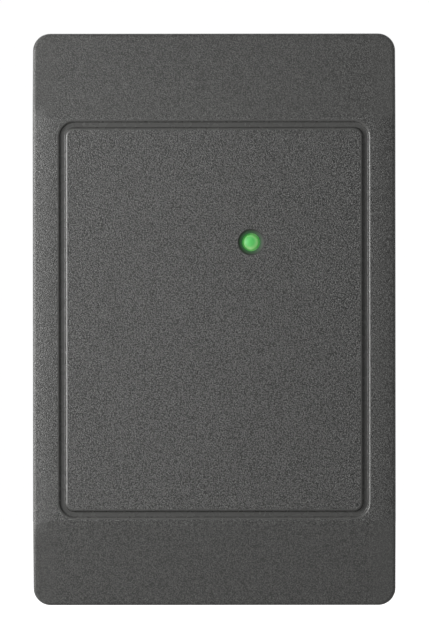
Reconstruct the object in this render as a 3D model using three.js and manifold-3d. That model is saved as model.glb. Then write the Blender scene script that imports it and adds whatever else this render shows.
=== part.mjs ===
// Wall-mount proximity card reader: a hinged front cover over a wired electronics base.
// Millimetres. X is across the reader, +Z is up the wall and +Y points into the wall.
// The origin is on the wall plane, at the middle of the front cover's outline.
import * as THREE from "three";
import { mergeVertices } from "three/addons/utils/BufferGeometryUtils.js";
import Module from "manifold-3d";

// ---- Driving dimensions ----

const COVER = {
  width: 75.6,
  height: 119.4,
  depth: 17.3, // wall plane to the flat of the front
  endDepth: 13.5, // wall plane to the front at the top and bottom ends
  rampStart: 42, // height above centre where the flat ends and the end ramps begin
  cornerRadius: 3.6,
  wall: 2,
  rearGap: 0.6, // between the skirt and the wall plane
  rearChamfer: 0.4,
};
const GROOVE = { halfWidth: 32.3, halfHeight: 41.3, radius: 3.2, width: 1.45, depth: 0.8 };
const LED = { x: 7.7, z: 16.1, lensRadius: 1.7, dishRadius: 2.7, dishDepth: 1 };
const HINGE = { y: -2.7, z: 57.9, x: 20, width: 10, neck: 0.9, beadRadius: 0.65, pocketRadius: 0.95 };
const CATCH = { x: 18, width: 8, y: -2.6, length: 1.5, height: 0.6 };

const BASE = {
  halfWidth: 35.4,
  top: 55.5, // kept short of the cover, which turns past it on the hinge beads
  bottom: -57.3,
  cornerRadius: 1.5,
  floor: 2,
  rimWall: 1.2,
  rimFront: -5,
  tubWall: 1.6,
  tubHalfHeight: 37.5,
  tubFront: -12,
};
const SEAL = { inset: 2.4, width: 1.9, depth: 0.9 };
const SCREW_SLOT = { spacing: 83.3, width: 4, length: 8, padFront: -3.2 };
const INLET = { z: -24, holeRadius: 7, boreRadius: 4, lip: 1.4 };

const BOARD = { halfWidth: 33.4, halfHeight: 35.5, rear: -5, thickness: 1.6 };
const BOARD_SCREW = { x: 29, z: 31, headRadius: 2.2, headHeight: 1.7, shankRadius: 0.95, tip: -2.5 };
const WIRING_NOTCH = { halfWidth: 12.5, top: -14.5 };

const FORMER = {
  halfWidth: 33,
  halfHeight: 35.1,
  ringWidth: 5.2,
  rear: -9.4,
  front: -13.8,
  flange: 0.8,
  channel: 3.8,
  legX: 29.4,
  legZ: 16,
};
const LEAD = { x: 25, z: -19.5, spacing: 2.6, radius: 0.45 };

const TERMINALS = {
  ways: 8,
  pitch: 3.5,
  halfWidth: 14.3,
  bottom: -14.2,
  top: -6.6,
  front: -14.6,
  screwZ: -10.6,
};
const TAMPER = { x: 2.5, z: 25, bodyFront: -10.4, pressed: -12.9, travel: 1, radius: 1.6 };

const boardFront = BOARD.rear - BOARD.thickness;
const onBoard = boardFront - 0.02; // where a component's underside sits
const coverHalfWidth = COVER.width / 2;
const coverHalfHeight = COVER.height / 2;
const coverInnerFront = COVER.wall - COVER.depth;

// ---- Solids from three.js geometry ----

const wasm = await Module();
wasm.setup();

function toSolid(geometry) {
  const bare = geometry.index ? geometry.toNonIndexed() : geometry.clone();
  bare.deleteAttribute("normal");
  bare.deleteAttribute("uv");
  const merged = mergeVertices(bare, 1e-4);
  return new wasm.Manifold(
    new wasm.Mesh({
      numProp: 3,
      vertProperties: merged.attributes.position.array,
      triVerts: new Uint32Array(merged.index.array),
    }),
  );
}

function toGeometry(solid) {
  const { vertProperties, triVerts } = solid.getMesh();
  const geometry = new THREE.BufferGeometry();
  geometry.setAttribute("position", new THREE.BufferAttribute(vertProperties, 3));
  geometry.setIndex(new THREE.BufferAttribute(triVerts, 1));
  return geometry;
}

const join = (first, ...others) => others.reduce((sum, other) => sum.add(other), first);
const cut = (first, ...others) => others.reduce((rest, other) => rest.subtract(other), first);
const overlap = (first, ...others) => others.reduce((both, other) => both.intersect(other), first);

// ---- Outlines ----

function roundedBox(left, right, bottom, top, radius) {
  const shape = new THREE.Shape();
  shape.moveTo(left + radius, bottom);
  shape.absarc(right - radius, bottom + radius, radius, -Math.PI / 2, 0, false);
  shape.absarc(right - radius, top - radius, radius, 0, Math.PI / 2, false);
  shape.absarc(left + radius, top - radius, radius, Math.PI / 2, Math.PI, false);
  shape.absarc(left + radius, bottom + radius, radius, Math.PI, 1.5 * Math.PI, false);
  return shape;
}

const roundedRect = (halfWidth, halfHeight, radius) =>
  roundedBox(-halfWidth, halfWidth, -halfHeight, halfHeight, radius);

const roundedAt = (x, z, width, height, radius) =>
  roundedBox(x - width / 2, x + width / 2, z - height / 2, z + height / 2, radius);

const polygon = (points) => new THREE.Shape(points.map(([a, b]) => new THREE.Vector2(a, b)));

// ---- Primitives. An outline's arcs have twice as many segments as arcSteps. ----

function extrude(shape, depth, arcSteps) {
  return new THREE.ExtrudeGeometry(shape, { depth, bevelEnabled: false, curveSegments: arcSteps });
}

// An (x, z) outline made solid from the plane y = rear forward to y = front.
function slab(shape, rear, front, arcSteps = 2) {
  return toSolid(extrude(shape, rear - front, arcSteps).rotateX(Math.PI / 2).translate(0, rear, 0));
}

// A (y, z) profile made solid across the width, from x = left to x = right.
function acrossWidth(shape, left, right) {
  const turn = new THREE.Matrix4().makeBasis(
    new THREE.Vector3(0, 1, 0),
    new THREE.Vector3(0, 0, 1),
    new THREE.Vector3(1, 0, 0),
  );
  return toSolid(extrude(shape, right - left, 2).applyMatrix4(turn).translate(left, 0, 0));
}

// An (x, y) profile made solid up the height, centred on z = 0.
function upHeight(shape, height) {
  return toSolid(extrude(shape, height, 4).translate(0, 0, -height / 2));
}

function block(x, z, width, height, rear, front) {
  return toSolid(new THREE.BoxGeometry(width, rear - front, height).translate(x, (rear + front) / 2, z));
}

// A round post along Y.
function post(x, z, radius, rear, front, sides = 16) {
  const geometry = new THREE.CylinderGeometry(radius, radius, rear - front, sides);
  return toSolid(geometry.translate(x, (rear + front) / 2, z));
}

// A rod along X.
function rod(x, y, z, radius, length, sides = 12) {
  const geometry = new THREE.CylinderGeometry(radius, radius, length, sides);
  return toSolid(geometry.rotateZ(Math.PI / 2).translate(x, y, z));
}

// A turned piece from (radius, y) pairs, listed from the rear of its axis to the front of it.
function turned(x, z, profile, sides = 16) {
  const points = profile.map(([radius, y]) => new THREE.Vector2(radius, y)).reverse();
  return toSolid(new THREE.LatheGeometry(points, sides).translate(x, 0, z));
}

// The front half of a dome as (radius, y) pairs, from its rim to its tip.
function domeProfile(radius, rise, rimY, steps) {
  const rimToTip = Array.from({ length: steps }, (_, i) => (i / steps) * (Math.PI / 2));
  const points = rimToTip.map((angle) => [radius * Math.cos(angle), rimY - rise * Math.sin(angle)]);
  return [...points, [0, rimY - rise]];
}

// A closed frame between two outlines.
const frame = (outer, inner, rear, front, arcSteps = 2) =>
  cut(slab(outer, rear, front, arcSteps), slab(inner, rear + 1, front - 1, arcSteps));

const fourCorners = (x, z) => [
  { x: -x, z },
  { x, z },
  { x: -x, z: -z },
  { x, z: -z },
];

// ---- Finishes ----

const finish = (color, roughness, metalness = 0) =>
  new THREE.MeshStandardMaterial({ color, roughness, metalness });
const FINISH = {
  cover: finish(0x575755, 0.55),
  base: finish(0x1c1d1e, 0.6),
  lens: finish(0x5ccf62, 0.3),
  led: finish(0x8fe39a, 0.15),
  nylon: finish(0xe8e4d8, 0.5),
  rubber: finish(0x17181a, 0.85),
  foam: finish(0x2a2b2d, 0.95),
  board: finish(0x1f5c3a, 0.35),
  chip: finish(0x202122, 0.5),
  copper: finish(0xb8683a, 0.3, 1),
  ferrite: finish(0x3b3d40, 0.8),
  steel: finish(0xc4c6c8, 0.3, 1),
  brass: finish(0xc9a45c, 0.3, 1),
  film: finish(0xb5392b, 0.4),
  sleeve: finish(0x23324f, 0.4),
  terminal: finish(0x2f8f4e, 0.4),
};

const reader = new THREE.Group();

function addPiece(name, solid, material) {
  const mesh = new THREE.Mesh(toGeometry(solid), material);
  mesh.name = name;
  reader.add(mesh);
}

// ---- Front cover ----

// Side view: flat in the middle, with a ramp down to each end.
function coverSideProfile() {
  const { depth, endDepth, rampStart, rearGap, rearChamfer } = COVER;
  const endRound = 0.7;
  const half = [
    [-rearGap, coverHalfHeight - rearChamfer],
    [-rearGap - rearChamfer, coverHalfHeight],
    [-endDepth + endRound, coverHalfHeight],
    [-endDepth - 0.2 * endRound, coverHalfHeight - endRound],
    [-depth, rampStart],
  ];
  const otherHalf = half.map(([y, z]) => [y, -z]).reverse();
  return polygon([...half, ...otherHalf]);
}

// Plan view: a flat front that falls away gently to rounded long edges.
function coverPlanProfile() {
  const front = -COVER.depth;
  const edge = coverHalfWidth;
  const crown = { start: 33.5, middle: 35.2, end: 36.8, drop: 0.35 };
  const edgeFall = 1.5;
  const shape = new THREE.Shape();
  shape.moveTo(-edge, 0);
  shape.lineTo(-edge, front + edgeFall);
  shape.quadraticCurveTo(-edge, front + crown.drop + 0.2, -crown.end, front + crown.drop);
  shape.quadraticCurveTo(-crown.middle, front, -crown.start, front);
  shape.lineTo(crown.start, front);
  shape.quadraticCurveTo(crown.middle, front, crown.end, front + crown.drop);
  shape.quadraticCurveTo(edge, front + crown.drop + 0.2, edge, front + edgeFall);
  shape.lineTo(edge, 0);
  return shape;
}

function coverHollow() {
  const { wall, endDepth, rampStart, cornerRadius } = COVER;
  const halfHeight = coverHalfHeight - wall;
  const outline = roundedRect(coverHalfWidth - wall, halfHeight, cornerRadius - wall);
  const profile = polygon([
    [1, -halfHeight],
    [1, halfHeight],
    [wall - endDepth - 0.3, halfHeight],
    [coverInnerFront, rampStart - 0.5],
    [coverInnerFront, 0.5 - rampStart],
    [wall - endDepth - 0.3, -halfHeight],
  ]);
  return overlap(slab(outline, 1, -COVER.depth), acrossWidth(profile, -coverHalfWidth, coverHalfWidth));
}

// The moat round the centre panel, which stays flush with its surround.
function coverGroove() {
  const { halfWidth, halfHeight, radius, width, depth } = GROOVE;
  return frame(
    roundedRect(halfWidth, halfHeight, radius),
    roundedRect(halfWidth - width, halfHeight - width, radius - width),
    depth - COVER.depth,
    -COVER.depth - 2,
    3,
  );
}

// A countersunk dish with a straight hole behind it.
function ledOpening() {
  const holeRadius = LED.lensRadius + 0.15;
  const front = -COVER.depth;
  const profile = [
    [0, coverInnerFront + 1],
    [holeRadius, coverInnerFront + 1],
    [holeRadius, front + LED.dishDepth],
    [LED.dishRadius, front],
    [LED.dishRadius, front - 1],
    [0, front - 1],
  ];
  return turned(LED.x, LED.z, profile, 20);
}

// A seat in the top wall for one of the base's hinge beads, open downwards.
function hingePocket(x) {
  const { y, z, width, pocketRadius } = HINGE;
  const length = width + 1;
  const mouth = block(x, z - 1, length, 2, y + pocketRadius, y - pocketRadius);
  return join(rod(x, y, z, pocketRadius, length), mouth);
}

// A recess in the bottom wall that a snap nib of the base springs into.
function catchPocket(x) {
  const clearance = 0.4;
  const { y, length, width } = CATCH;
  const innerBottom = COVER.wall - coverHalfHeight;
  return block(x, innerBottom, width + 1, 1, y + clearance, y - length - clearance);
}

function frontCover() {
  const { width, height, depth, wall, rearGap, cornerRadius } = COVER;
  const outer = overlap(
    slab(roundedRect(coverHalfWidth, coverHalfHeight, cornerRadius), -rearGap, -depth - 1, 4),
    acrossWidth(coverSideProfile(), -coverHalfWidth - 1, coverHalfWidth + 1),
    upHeight(coverPlanProfile(), height + 2),
  );
  const prySlot = block(0, -coverHalfHeight, 9, 3, 0, -1.8);
  const hinges = [-HINGE.x, HINGE.x].map(hingePocket);
  const catches = [-CATCH.x, CATCH.x].map(catchPocket);
  const shell = cut(outer, coverHollow(), coverGroove(), ledOpening(), prySlot, ...hinges, ...catches);
  const ribZ = GROOVE.halfHeight - 1.6;
  const ribWidth = width - 2 * wall - 6;
  const ribs = [-ribZ, ribZ].map((z) => block(0, z, ribWidth, 1.2, coverInnerFront + 1.2, -depth + 1.5));
  const tamperPost = post(TAMPER.x, TAMPER.z, 1.9, TAMPER.pressed - 0.1, -depth + 1.5, 12);
  return join(shell, ...ribs, tamperPost);
}

// A diffusing cap seen in the dish, with a flange behind the cover that holds it.
function ledLens() {
  const seat = coverInnerFront + 0.02;
  const flange = { radius: 2.8, thickness: 0.8 };
  const profile = [
    [0, seat + flange.thickness],
    [flange.radius, seat + flange.thickness],
    [flange.radius, seat],
    [LED.lensRadius, seat],
    ...domeProfile(LED.lensRadius, 0.65, -16.5, 4),
  ];
  return turned(LED.x, LED.z, profile, 20);
}

addPiece("front_cover", frontCover(), FINISH.cover);
addPiece("led_lens", ledLens(), FINISH.lens);

// ---- Base housing ----

const baseOutline = (inset, radius) =>
  roundedBox(-BASE.halfWidth + inset, BASE.halfWidth - inset, BASE.bottom + inset, BASE.top - inset, radius);

const screwSlots = [-1, 1].map((side) => ({ side, z: (side * SCREW_SLOT.spacing) / 2 }));
const boardCorners = fourCorners(BOARD_SCREW.x, BOARD_SCREW.z);

// A tongue that stands up from the top edge and ends in a round bead, which the cover turns on.
function hingeTongue(x) {
  const { y, z, width, neck, beadRadius } = HINGE;
  const foot = BASE.top - 1;
  const stem = block(x, (foot + z) / 2, width, z - foot, y + neck / 2, y - neck / 2);
  return join(stem, rod(x, y, z, beadRadius, width));
}

// A snap nib on the bottom rim.
function catchNib(x) {
  const { y, length, width, height } = CATCH;
  const profile = polygon([
    [y, BASE.bottom + 0.2],
    [y - length / 3, BASE.bottom - height],
    [y - length / 2, BASE.bottom - height],
    [y - length, BASE.bottom + 0.2],
  ]);
  return acrossWidth(profile, x - width / 2, x + width / 2);
}

// A thick pad behind each mounting screw's head.
function slotPad({ side, z }) {
  const towardsCentre = 2.9;
  const towardsEnd = 6;
  const low = side > 0 ? z - towardsCentre : z - towardsEnd;
  return slab(roundedBox(-9, 9, low, low + towardsCentre + towardsEnd, 2), -1.5, SCREW_SLOT.padFront);
}

// Stiffening ribs between the tub and the rim, beside each mounting pad.
function earRibs(side) {
  const outer = side > 0 ? BASE.top : -BASE.bottom;
  const middle = (side * (outer + BASE.tubHalfHeight)) / 2;
  return [-17, 17].map((x) => block(x, middle, 1, outer - BASE.tubHalfHeight - 1, -1.5, -4.4));
}

function baseHousing() {
  const { floor, cornerRadius, rimWall, rimFront, tubWall, tubHalfHeight, tubFront, halfWidth } = BASE;
  const whole = join(
    slab(baseOutline(0, cornerRadius), 0, -floor),
    frame(baseOutline(0, cornerRadius), baseOutline(rimWall, 0.5), -floor + 0.5, rimFront),
    frame(
      roundedRect(halfWidth, tubHalfHeight, cornerRadius),
      roundedRect(halfWidth - tubWall, tubHalfHeight - tubWall, 1),
      -floor + 0.5,
      tubFront,
    ),
    ...screwSlots.map(slotPad),
    ...boardCorners.map(({ x, z }) => post(x, z, 3, -floor + 0.5, BOARD.rear)),
    post(0, INLET.z, INLET.holeRadius + 3.4, -floor + 0.5, -2.6, 24),
    ...[-1, 1].flatMap(earRibs),
    ...[-HINGE.x, HINGE.x].map(hingeTongue),
    ...[-CATCH.x, CATCH.x].map(catchNib),
  );
  const sealGroove = frame(
    baseOutline(SEAL.inset, 2),
    baseOutline(SEAL.inset + SEAL.width, 1),
    1,
    -SEAL.depth,
  );
  const reliefSlots = [-CATCH.x, CATCH.x].flatMap((x) =>
    [-1, 1].map((side) => block(x + side * (CATCH.width / 2 + 1), BASE.bottom, 1, 4, -floor, -6)),
  );
  return cut(
    whole,
    ...screwSlots.map(({ z }) =>
      slab(roundedAt(0, z, SCREW_SLOT.length, SCREW_SLOT.width, SCREW_SLOT.width / 2 - 0.01), 1, -6, 3),
    ),
    ...boardCorners.map(({ x, z }) => post(x, z, BOARD_SCREW.shankRadius + 0.2, -2.2, -6, 12)),
    post(0, INLET.z, INLET.holeRadius, 1, -4, 24),
    post(0, INLET.z, INLET.holeRadius + INLET.lip, 1, -0.8, 24),
    sealGroove,
    ...reliefSlots,
  );
}

function rearSeal() {
  const outer = baseOutline(SEAL.inset + 0.1, 1.9);
  const inner = baseOutline(SEAL.inset + SEAL.width - 0.1, 1.1);
  return frame(outer, inner, -0.05, -SEAL.depth + 0.1);
}

// A rubber grommet: a barrel through the floor, with a lip at each side of it.
function cableGrommet() {
  const { holeRadius, boreRadius, z } = INLET;
  const profile = [
    [boreRadius, -0.15],
    [holeRadius + 1, -0.15],
    [holeRadius + 1, -0.65],
    [holeRadius - 0.15, -0.65],
    [holeRadius - 0.15, -2.75],
    [holeRadius + 2.2, -2.75],
    [holeRadius + 1.4, -4],
    [boreRadius, -4],
    [boreRadius, -0.15],
  ];
  return turned(0, z, profile, 24);
}

addPiece("base_housing", baseHousing(), FINISH.base);
addPiece("rear_seal", rearSeal(), FINISH.foam);
addPiece("cable_grommet", cableGrommet(), FINISH.rubber);

// ---- Circuit board and its fixings ----

const formerLegs = fourCorners(FORMER.legX, FORMER.legZ);

function circuitBoard() {
  const { halfWidth, halfHeight, rear } = BOARD;
  const { halfWidth: notchHalfWidth, top } = WIRING_NOTCH;
  const through = [rear + 1, boardFront - 1];
  return cut(
    slab(roundedRect(halfWidth, halfHeight, 1.2), rear, boardFront),
    slab(roundedBox(-notchHalfWidth, notchHalfWidth, -60, top, 1.5), ...through),
    ...boardCorners.map(({ x, z }) => post(x, z, 1.35, ...through, 12)),
    ...formerLegs.map(({ x, z }) => post(x, z, 0.95, ...through, 8)),
  );
}

// An absorber sheet that keeps a metal wall box from detuning the antenna.
function ferriteSheet() {
  const sheet = slab(roundedRect(24.8, 34.5, 1), -BASE.floor - 0.05, -3);
  return cut(sheet, slab(roundedBox(-13, 13, -60, -12.8, 1), 0, -6));
}

function boardScrew(x, z) {
  const { headRadius, headHeight, shankRadius, tip } = BOARD_SCREW;
  const head = boardFront - headHeight;
  const profile = [
    [0, tip],
    [0.5, tip],
    [shankRadius, tip - 0.6],
    [shankRadius, onBoard],
    [headRadius, onBoard],
    [headRadius, head + 0.7],
    [headRadius * 0.6, head],
    [0, head],
  ];
  const slotLength = 2.2;
  const slotWidth = 0.5;
  const slotFloor = head + 0.9;
  return cut(
    turned(x, z, profile, 14),
    block(x, z, slotLength, slotWidth, slotFloor, head - 1),
    block(x, z, slotWidth, slotLength, slotFloor, head - 1),
  );
}

addPiece("circuit_board", circuitBoard(), FINISH.board);
addPiece("ferrite_sheet", ferriteSheet(), FINISH.ferrite);
boardCorners.forEach(({ x, z }, i) => addPiece(`board_screw_${i + 1}`, boardScrew(x, z), FINISH.steel));

// ---- Antenna: a former that stands on the board, with the winding round it ----

const formerOutline = (inset, radius) =>
  roundedRect(FORMER.halfWidth - inset, FORMER.halfHeight - inset, radius);

function antennaFormer() {
  const { rear, front, flange, channel, ringWidth } = FORMER;
  const body = frame(formerOutline(0, 4), formerOutline(ringWidth, 1.5), rear, front);
  const channelCut = frame(formerOutline(-1, 5), formerOutline(channel, 2), rear - flange, front + flange);
  const legs = formerLegs.map(({ x, z }) =>
    join(
      post(x, z, 1.5, onBoard, rear - 0.4, 10),
      post(x, z, 0.8, BOARD.rear - 0.4, boardFront - 0.5, 8),
    ),
  );
  const leadExit = block(28.5, LEAD.z, 4, 6, rear - flange - 0.05, front + flange + 0.05);
  return cut(join(cut(body, channelCut), ...legs), leadExit);
}

function antennaCoil() {
  const { rear, front, flange, channel } = FORMER;
  const outer = formerOutline(0.5, 3.6);
  const inner = formerOutline(channel - 0.1, 2.1);
  return frame(outer, inner, rear - flange - 0.1, front + flange + 0.1);
}

// A lead from the inner side of the winding down to its pad on the board.
function coilLead(z) {
  const windingSide = FORMER.halfWidth - FORMER.channel;
  const path = new THREE.CatmullRomCurve3([
    new THREE.Vector3(windingSide - 0.2, -11.6, z),
    new THREE.Vector3(windingSide - 1.8, -11.5, z),
    new THREE.Vector3(LEAD.x + 0.6, -10.4, z),
    new THREE.Vector3(LEAD.x, -8.6, z),
    new THREE.Vector3(LEAD.x, boardFront - 0.1, z),
  ]);
  const section = new THREE.Shape().absarc(0, 0, LEAD.radius, 0, 2 * Math.PI, false);
  const wire = { extrudePath: path, steps: 10, curveSegments: 4, bevelEnabled: false };
  return toSolid(new THREE.ExtrudeGeometry(section, wire));
}

addPiece("antenna_former", antennaFormer(), FINISH.nylon);
addPiece("antenna_coil", antennaCoil(), FINISH.copper);
addPiece("coil_lead_start", coilLead(LEAD.z + LEAD.spacing / 2), FINISH.copper);
addPiece("coil_lead_finish", coilLead(LEAD.z - LEAD.spacing / 2), FINISH.copper);

// ---- Components on the board ----

// A moulded chip body with flat leads along its two long sides, or along all four.
function chip({ x, z, width, height, rise, leads, pitch, reach, fourSides = false }) {
  const body = block(x, z, width, height, boardFront - 0.12, boardFront - rise);
  const bite = 0.2; // how far each lead runs into the body
  const along = Array.from({ length: leads }, (_, i) => (i - (leads - 1) / 2) * pitch);
  const lead = (dx, dz, leadWidth, leadHeight) =>
    block(x + dx, z + dz, leadWidth, leadHeight, onBoard, boardFront - 0.3);
  const sides = [-1, 1].flatMap((side) => along.map((step) => ({ side, step })));
  const sideLeads = sides.map(({ side, step }) =>
    lead(side * (width / 2 + (reach - bite) / 2), step, reach + bite, pitch * 0.4),
  );
  const endLeads = sides.map(({ side, step }) =>
    lead(step, side * (height / 2 + (reach - bite) / 2), pitch * 0.4, reach + bite),
  );
  return join(body, ...sideLeads, ...(fourSides ? endLeads : []));
}

function statusLed() {
  const rear = boardFront - 3.05;
  const profile = [
    [0, rear],
    [1.9, rear],
    [1.9, rear - 1],
    [1.5, rear - 1],
    ...domeProfile(1.5, 1.5, -12.7, 3),
  ];
  const legs = [-0.64, 0.64].map((dx) => block(LED.x + dx, LED.z, 0.5, 0.5, boardFront - 0.1, rear - 0.5));
  return join(turned(LED.x, LED.z, profile), ...legs);
}

function ledSpacer() {
  const front = boardFront - 2.98;
  return cut(post(LED.x, LED.z, 2.2, onBoard, front), post(LED.x, LED.z, 1.3, 0, front - 1, 12));
}

function sounder(x, z) {
  const top = boardFront - 7.5;
  const profile = [
    [0, onBoard],
    [6, onBoard],
    [6, top + 0.5],
    [5.5, top],
    [0, top],
  ];
  return cut(turned(x, z, profile, 24), post(x, z, 1, top + 1.6, top - 1, 10));
}

function canCapacitor(x, z, radius, rise) {
  const top = boardFront - rise;
  const profile = [
    [0, onBoard],
    [radius, onBoard],
    [radius, boardFront - 1],
    [radius - 0.25, boardFront - 1.4],
    [radius, boardFront - 1.8],
    [radius, top + 0.4],
    [radius - 0.4, top],
    [0, top],
  ];
  return turned(x, z, profile, 18);
}

const roundedComponent = (x, z, width, height, rise, radius = 0.4) =>
  slab(roundedAt(x, z, width, height, radius), onBoard, boardFront - rise, 1);

function crystalCan(x, z) {
  const flange = roundedComponent(x, z, 4.6, 10.8, 0.6, 2.2);
  return join(flange, slab(roundedAt(x, z, 3.8, 10, 1.8), boardFront - 0.3, boardFront - 3.5));
}

// A power package: a moulded body over a solder tab, with two leads at its lower end.
function tabPackage(x, z) {
  const tab = block(x, z + 3.6, 5.4, 3, onBoard, boardFront - 0.5);
  const body = block(x, z, 6.6, 6, boardFront - 0.1, boardFront - 2.3);
  const legs = [-2.3, 2.3].map((dx) => block(x + dx, z - 4, 0.8, 3, onBoard, boardFront - 0.5));
  return join(tab, body, ...legs);
}

function diodePackage(x, z, width, height) {
  const body = block(x, z, width, height, boardFront - 0.1, boardFront - 2.3);
  return join(body, block(x, z, width + 1.2, height * 0.5, onBoard, boardFront - 0.5));
}

function driverTransistor(x, z) {
  const body = block(x, z, 6.5, 3.5, boardFront - 0.08, boardFront - 1.7);
  const tab = block(x, z + 2.4, 3, 2, onBoard, boardFront - 0.35);
  const legs = [-2.3, 0, 2.3].map((dx) => block(x + dx, z - 2.4, 0.7, 2, onBoard, boardFront - 0.35));
  return join(body, tab, ...legs);
}

// A shielded choke with its winding window showing round the core.
function powerChoke(x, z) {
  const top = boardFront - 4.2;
  const window = cut(post(x, z, 2.9, top + 0.6, top - 1), post(x, z, 2.2, top + 1, top - 2));
  return cut(roundedComponent(x, z, 7.3, 7.3, 4.2, 1.2), window);
}

const mainChip = { x: -14, z: 1, width: 7, height: 7, rise: 1.2, leads: 8, pitch: 0.8, reach: 1 };
const radioChip = { x: 11, z: 2, width: 4, height: 10, rise: 1.6, leads: 8, pitch: 1.27, reach: 1.1 };

addPiece("status_led", statusLed(), FINISH.led);
addPiece("led_spacer", ledSpacer(), FINISH.nylon);
addPiece("sounder", sounder(-14, 18), FINISH.chip);
addPiece("microcontroller", chip({ ...mainChip, fourSides: true }), FINISH.chip);
addPiece("reader_chip", chip(radioChip), FINISH.chip);
addPiece("clock_crystal", crystalCan(-2.5, 3), FINISH.steel);
addPiece("voltage_regulator", tabPackage(-21.5, -9), FINISH.chip);
addPiece("power_choke", powerChoke(21, 9), FINISH.ferrite);
addPiece("tuning_capacitor", roundedComponent(21, -5, 5.2, 10.2, 7), FINISH.film);
addPiece("reservoir_capacitor", canCapacitor(-20, -21.5, 4, 7.4), FINISH.sleeve);
addPiece("supply_capacitor", canCapacitor(18, -22.5, 3.15, 5.6), FINISH.sleeve);
addPiece("surge_suppressor", diodePackage(-23.5, 5, 4.4, 3.6), FINISH.chip);
addPiece("polarity_diode", diodePackage(-23.6, 26, 4.4, 2.6), FINISH.chip);
addPiece("driver_transistor_1", driverTransistor(19.5, 18.5), FINISH.chip);
addPiece("driver_transistor_2", driverTransistor(19.5, 25.5), FINISH.chip);

// ---- Tamper switch: the closed cover's post holds its plunger in ----

function tamperSwitch() {
  const { x, z, bodyFront, radius } = TAMPER;
  const bore = post(x, z, radius + 0.1, bodyFront + 2.5, bodyFront - 2);
  return cut(roundedComponent(x, z, 6.2, 6.2, boardFront - bodyFront, 0.5), bore);
}

function tamperPlunger() {
  const { x, z, bodyFront, pressed, radius } = TAMPER;
  const profile = [
    [0, bodyFront + 2.3],
    [radius, bodyFront + 2.3],
    [radius, pressed + 0.4],
    [radius - 0.4, pressed],
    [0, pressed],
  ];
  return turned(x, z, profile);
}

addPiece("tamper_switch", tamperSwitch(), FINISH.chip);
addPiece("tamper_plunger", tamperPlunger(), FINISH.nylon);

// ---- Terminal block: each way's screw draws its clamp forward and traps the wire on the contact ----

const CHAMBER = { width: 2.7, height: 5.2, rear: -7.2, front: -12.4 };
const CLAMP = { width: 2.4, height: 4.6, rear: -7.4, front: -11, windowRear: -8.1, windowFront: -9.9 };
const CONTACT = { width: 1.4, rear: -9.35, front: -9.75, tailZ: -7.6, tailWidth: 0.7 };
const WELL = { radius: 1.5, floor: -12.9, holeRadius: 0.95 };

const wayCentres = Array.from(
  { length: TERMINALS.ways },
  (_, i) => (i - (TERMINALS.ways - 1) / 2) * TERMINALS.pitch,
);

function terminalBlock() {
  const { halfWidth, bottom, top, front, screwZ } = TERMINALS;
  const slope = 1.5; // the wire side's front edge is cut back
  const profile = polygon([
    [onBoard, bottom],
    [onBoard, top],
    [front, top],
    [front, bottom + slope],
    [front + slope, bottom],
  ]);
  const body = acrossWidth(profile, -halfWidth, halfWidth);
  const cuts = wayCentres.flatMap((x) => [
    block(x, screwZ, CHAMBER.width, CHAMBER.height, CHAMBER.rear, CHAMBER.front),
    block(x, bottom, 2.3, 3, -7.9, -9.8),
    block(x, CONTACT.tailZ, CONTACT.tailWidth + 0.3, 1.1, 0, CONTACT.front - 0.3),
    post(x, screwZ, WELL.radius, WELL.floor, front - 1, 12),
    post(x, screwZ, WELL.holeRadius, CHAMBER.front + 0.5, WELL.floor - 0.5, 8),
  ]);
  return cut(body, ...cuts);
}

function terminalScrew(x) {
  const { screwZ } = TERMINALS;
  const head = { rear: -12.95, front: -14, radius: 1.35 };
  const shank = { tip: -10, radius: 0.75 };
  const profile = [
    [0, shank.tip],
    [shank.radius, shank.tip],
    [shank.radius, head.rear],
    [head.radius, head.rear],
    [head.radius, head.front],
    [0, head.front],
  ];
  return cut(turned(x, screwZ, profile, 12), block(x, screwZ, 4, 0.5, head.front + 0.6, head.front - 1));
}

// A square metal frame. The wire and the contact lie in its window.
function wireClamp(x) {
  const { screwZ } = TERMINALS;
  const { width, height, rear, front, windowRear, windowFront } = CLAMP;
  const body = block(x, screwZ, width, height, rear, front);
  const window = block(x, screwZ, width - 0.7, height + 2, windowRear, windowFront);
  return cut(body, window, post(x, screwZ, 0.95, windowFront + 0.5, front - 1, 8));
}

// A bar across the clamp's window, with a tail down to the board.
function terminalContact(x) {
  const { width, rear, front, tailZ, tailWidth } = CONTACT;
  const low = TERMINALS.screwZ - 2;
  const high = tailZ + tailWidth / 2;
  const bar = block(x, (low + high) / 2, width * 0.5, high - low, rear, front);
  const pad = block(x, TERMINALS.screwZ, width, 3.6, rear, front);
  return join(bar, pad, block(x, tailZ, tailWidth, tailWidth, boardFront - 0.1, front));
}

addPiece("terminal_block", terminalBlock(), FINISH.terminal);
wayCentres.forEach((x, i) => {
  addPiece(`terminal_screw_${i + 1}`, terminalScrew(x), FINISH.steel);
  addPiece(`wire_clamp_${i + 1}`, wireClamp(x), FINISH.steel);
  addPiece(`terminal_contact_${i + 1}`, terminalContact(x), FINISH.brass);
});

export default reader;
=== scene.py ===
"""Looks of a wall-mount proximity card reader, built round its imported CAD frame.

Shapes are worked out in millimetres in the frame's axes (X across the reader, Y into the wall,
Z up) and scaled to metres when each mesh is finished.
"""

import math

import bmesh
import bpy
from mathutils import Matrix, Vector
from mathutils.geometry import delaunay_2d_cdt

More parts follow.
